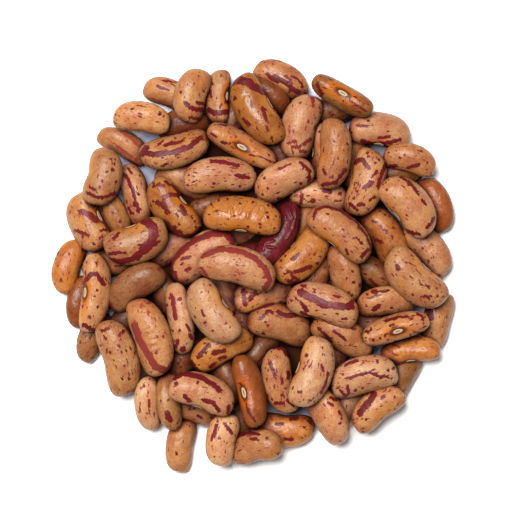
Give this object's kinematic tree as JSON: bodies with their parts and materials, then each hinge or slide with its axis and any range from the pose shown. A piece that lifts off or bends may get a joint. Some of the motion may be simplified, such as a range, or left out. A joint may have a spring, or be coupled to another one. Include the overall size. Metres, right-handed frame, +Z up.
{
  "type": "heap of dried speckled beans",
  "caption": "Low round heap of dried speckled kidney-shaped beans, tan with dark red streaks, lying loose on a flat surface with no bowl.",
  "frame": {"origin": "middle of the heap, on the surface that it lies on", "axes": "+Z up out of the heap; +Y towards the top edge of the picture and +X towards its right edge, seen from straight above"},
  "size_m": [0.0871, 0.0898, 0.0155],
  "materials": {
    "bean_skin": "smooth dried seed coat with a soft sheen, tan to amber with dark red streaks and flecks"
  },
  "bodies": {
    "root": {"bean_heap": "bean_skin"}
  },
  "joints": []
}
